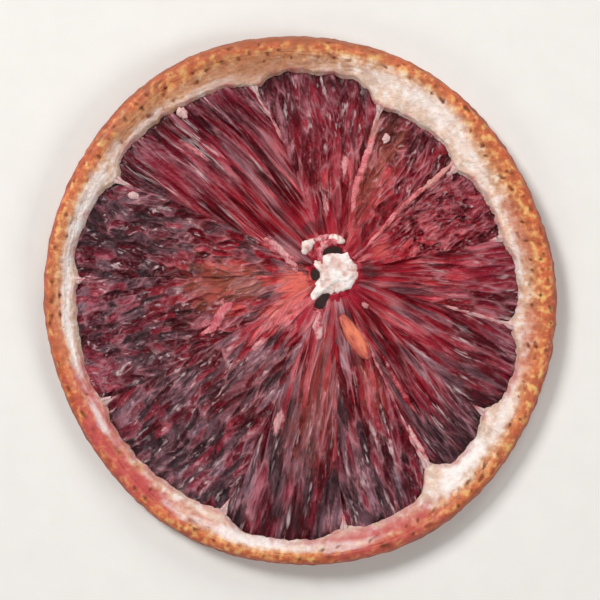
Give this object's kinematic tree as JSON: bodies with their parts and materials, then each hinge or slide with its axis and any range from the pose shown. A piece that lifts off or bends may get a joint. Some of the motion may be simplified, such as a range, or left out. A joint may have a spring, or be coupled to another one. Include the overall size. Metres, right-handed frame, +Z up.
{
  "type": "dried blood orange slice",
  "caption": "Thin round slice of dried citrus fruit with a raised peel and pith rim, dark red leathery flesh in segments and a pale core.",
  "frame": {"origin": "middle of the slice seen from above, at the level of the surface that it lies on", "axes": "+Z up, through the slice's thickness, out of the face that the picture shows; +X and +Y are the picture's right and up"},
  "size_m": [0.0555, 0.0572, 0.0036],
  "materials": {
    "dried_flesh": "leathery dark red dried fruit flesh with a dull gloss",
    "pith": "dry spongy cream pith",
    "peel": "waxy dull orange peel pitted with brown oil glands"
  },
  "bodies": {
    "root": {"citrus_slice": "dried_flesh"}
  },
  "joints": []
}
